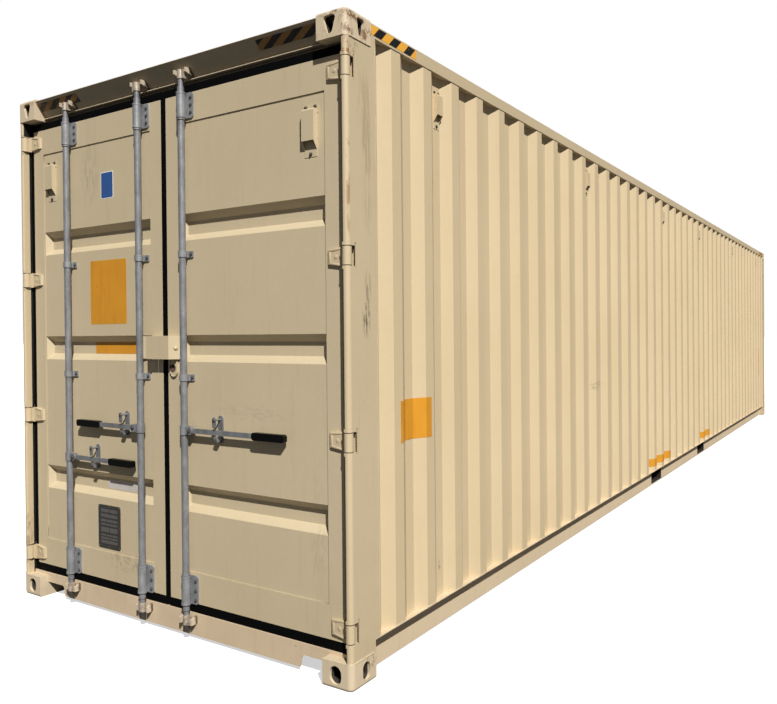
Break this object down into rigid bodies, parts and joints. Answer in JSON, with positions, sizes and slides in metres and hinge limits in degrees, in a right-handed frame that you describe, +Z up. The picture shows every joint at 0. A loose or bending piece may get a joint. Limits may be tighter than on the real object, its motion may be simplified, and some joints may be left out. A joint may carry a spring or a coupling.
{
  "type": "shipping container",
  "caption": "forty foot high-cube steel freight container with corrugated walls, double cargo doors with lock rods and handles, corner castings, forklift pockets and gooseneck tunnel",
  "frame": {"origin": "middle of the base, level with the feet of the bottom corner castings", "axes": "X right across the door end as seen by a person facing the doors, Y from the doors to the closed end, Z up"},
  "size_m": [2.438, 12.192, 2.896],
  "materials": {
    "tan_paint": "satin",
    "galvanised_steel": "satin",
    "gasket_rubber": "matte",
    "grip_rubber": "matte",
    "floor_plywood": "satin",
    "dark_plate": "satin"
  },
  "bodies": {
    "frame": {"corner_castings_bottom": "tan_paint", "corner_castings_top_rear": "tan_paint", "corner_castings_top_front": "tan_paint", "rear_post_left": "tan_paint", "rear_post_right": "tan_paint", "hinge_lugs": "tan_paint", "front_posts": "tan_paint", "door_header": "tan_paint", "door_sill": "tan_paint", "front_top_rail": "tan_paint", "front_sill": "tan_paint", "bottom_rail_left": "tan_paint", "bottom_rail_right": "tan_paint", "forklift_pockets": "tan_paint", "cross_members": "tan_paint", "gooseneck_tunnel": "tan_paint", "floor_boards": "floor_plywood", "side_wall_left": "tan_paint", "side_wall_right": "tan_paint", "front_wall": "tan_paint", "roof_panel": "tan_paint", "roof_end_plates": "tan_paint", "top_rail_left": "tan_paint", "top_rail_right": "tan_paint", "side_ventilators": "tan_paint", "cam_keepers": "tan_paint"},
    "left_leaf": {"door_frame_left": "tan_paint", "door_panel_left": "tan_paint", "door_gasket_left": "gasket_rubber", "hinge_blades_left": "tan_paint", "door_hardware_left": "galvanised_steel", "handle_catches_left": "galvanised_steel", "door_ventilator_left": "tan_paint", "lock_box_left": "tan_paint", "data_plate": "dark_plate"},
    "right_leaf": {"door_frame_right": "tan_paint", "door_panel_right": "tan_paint", "door_gasket_right": "gasket_rubber", "hinge_blades_right": "tan_paint", "door_hardware_right": "galvanised_steel", "handle_catch_right": "galvanised_steel", "door_ventilator_right": "tan_paint", "lock_box_right": "tan_paint"},
    "lock_rod_1": {"lock_rod_1": "galvanised_steel"},
    "handle_1": {"handle_1": "galvanised_steel", "handle_grip_1": "grip_rubber"},
    "catch_latch_1": {"catch_latch_1": "galvanised_steel"},
    "lock_rod_2": {"lock_rod_2": "galvanised_steel"},
    "handle_2": {"handle_2": "galvanised_steel", "handle_grip_2": "grip_rubber"},
    "catch_latch_2": {"catch_latch_2": "galvanised_steel"},
    "lock_rod_3": {"lock_rod_3": "galvanised_steel"},
    "handle_3": {"handle_3": "galvanised_steel", "handle_grip_3": "grip_rubber"},
    "catch_latch_3": {"catch_latch_3": "galvanised_steel"}
  },
  "joints": [
    {"name": "door_right", "type": "hinge", "parent": "frame", "child": "right_leaf", "pos_m": [1.195, -6.072, 1.448], "axis": [0, 0, 1], "range_deg": [0, 262]},
    {"name": "door_left", "type": "hinge", "parent": "frame", "child": "left_leaf", "pos_m": [-1.195, -6.072, 1.448], "axis": [0, 0, -1], "range_deg": [0, 262]},
    {"name": "lock_rod_1", "type": "hinge", "parent": "left_leaf", "child": "lock_rod_1", "pos_m": [-0.79, -6.072, 1.4], "axis": [0, 0, 1], "range_deg": [-90, 0]},
    {"name": "lock_rod_2", "type": "hinge", "parent": "left_leaf", "child": "lock_rod_2", "pos_m": [-0.168, -6.072, 1.4], "axis": [0, 0, -1], "range_deg": [-90, 0]},
    {"name": "lock_rod_3", "type": "hinge", "parent": "right_leaf", "child": "lock_rod_3", "pos_m": [0.168, -6.072, 1.4], "axis": [0, 0, 1], "range_deg": [-90, 0]},
    {"name": "handle_1", "type": "hinge", "parent": "lock_rod_1", "child": "handle_1", "pos_m": [-0.742, -6.072, 0.842], "axis": [0, 1, 0], "range_deg": [-10, 0]},
    {"name": "handle_2", "type": "hinge", "parent": "lock_rod_2", "child": "handle_2", "pos_m": [-0.216, -6.072, 1.038], "axis": [0, -1, 0], "range_deg": [-10, 0]},
    {"name": "handle_3", "type": "hinge", "parent": "lock_rod_3", "child": "handle_3", "pos_m": [0.216, -6.072, 1.048], "axis": [0, 1, 0], "range_deg": [-10, 0]},
    {"name": "catch_latch_1", "type": "hinge", "parent": "left_leaf", "child": "catch_latch_1", "pos_m": [-0.572, -6.084, 0.904], "axis": [0, 1, 0], "range_deg": [-90, 0]},
    {"name": "catch_latch_2", "type": "hinge", "parent": "left_leaf", "child": "catch_latch_2", "pos_m": [-0.315, -6.084, 1.1], "axis": [0, 1, 0], "range_deg": [-90, 0]},
    {"name": "catch_latch_3", "type": "hinge", "parent": "right_leaf", "child": "catch_latch_3", "pos_m": [0.393, -6.084, 1.11], "axis": [0, 1, 0], "range_deg": [-90, 0]}
  ]
}
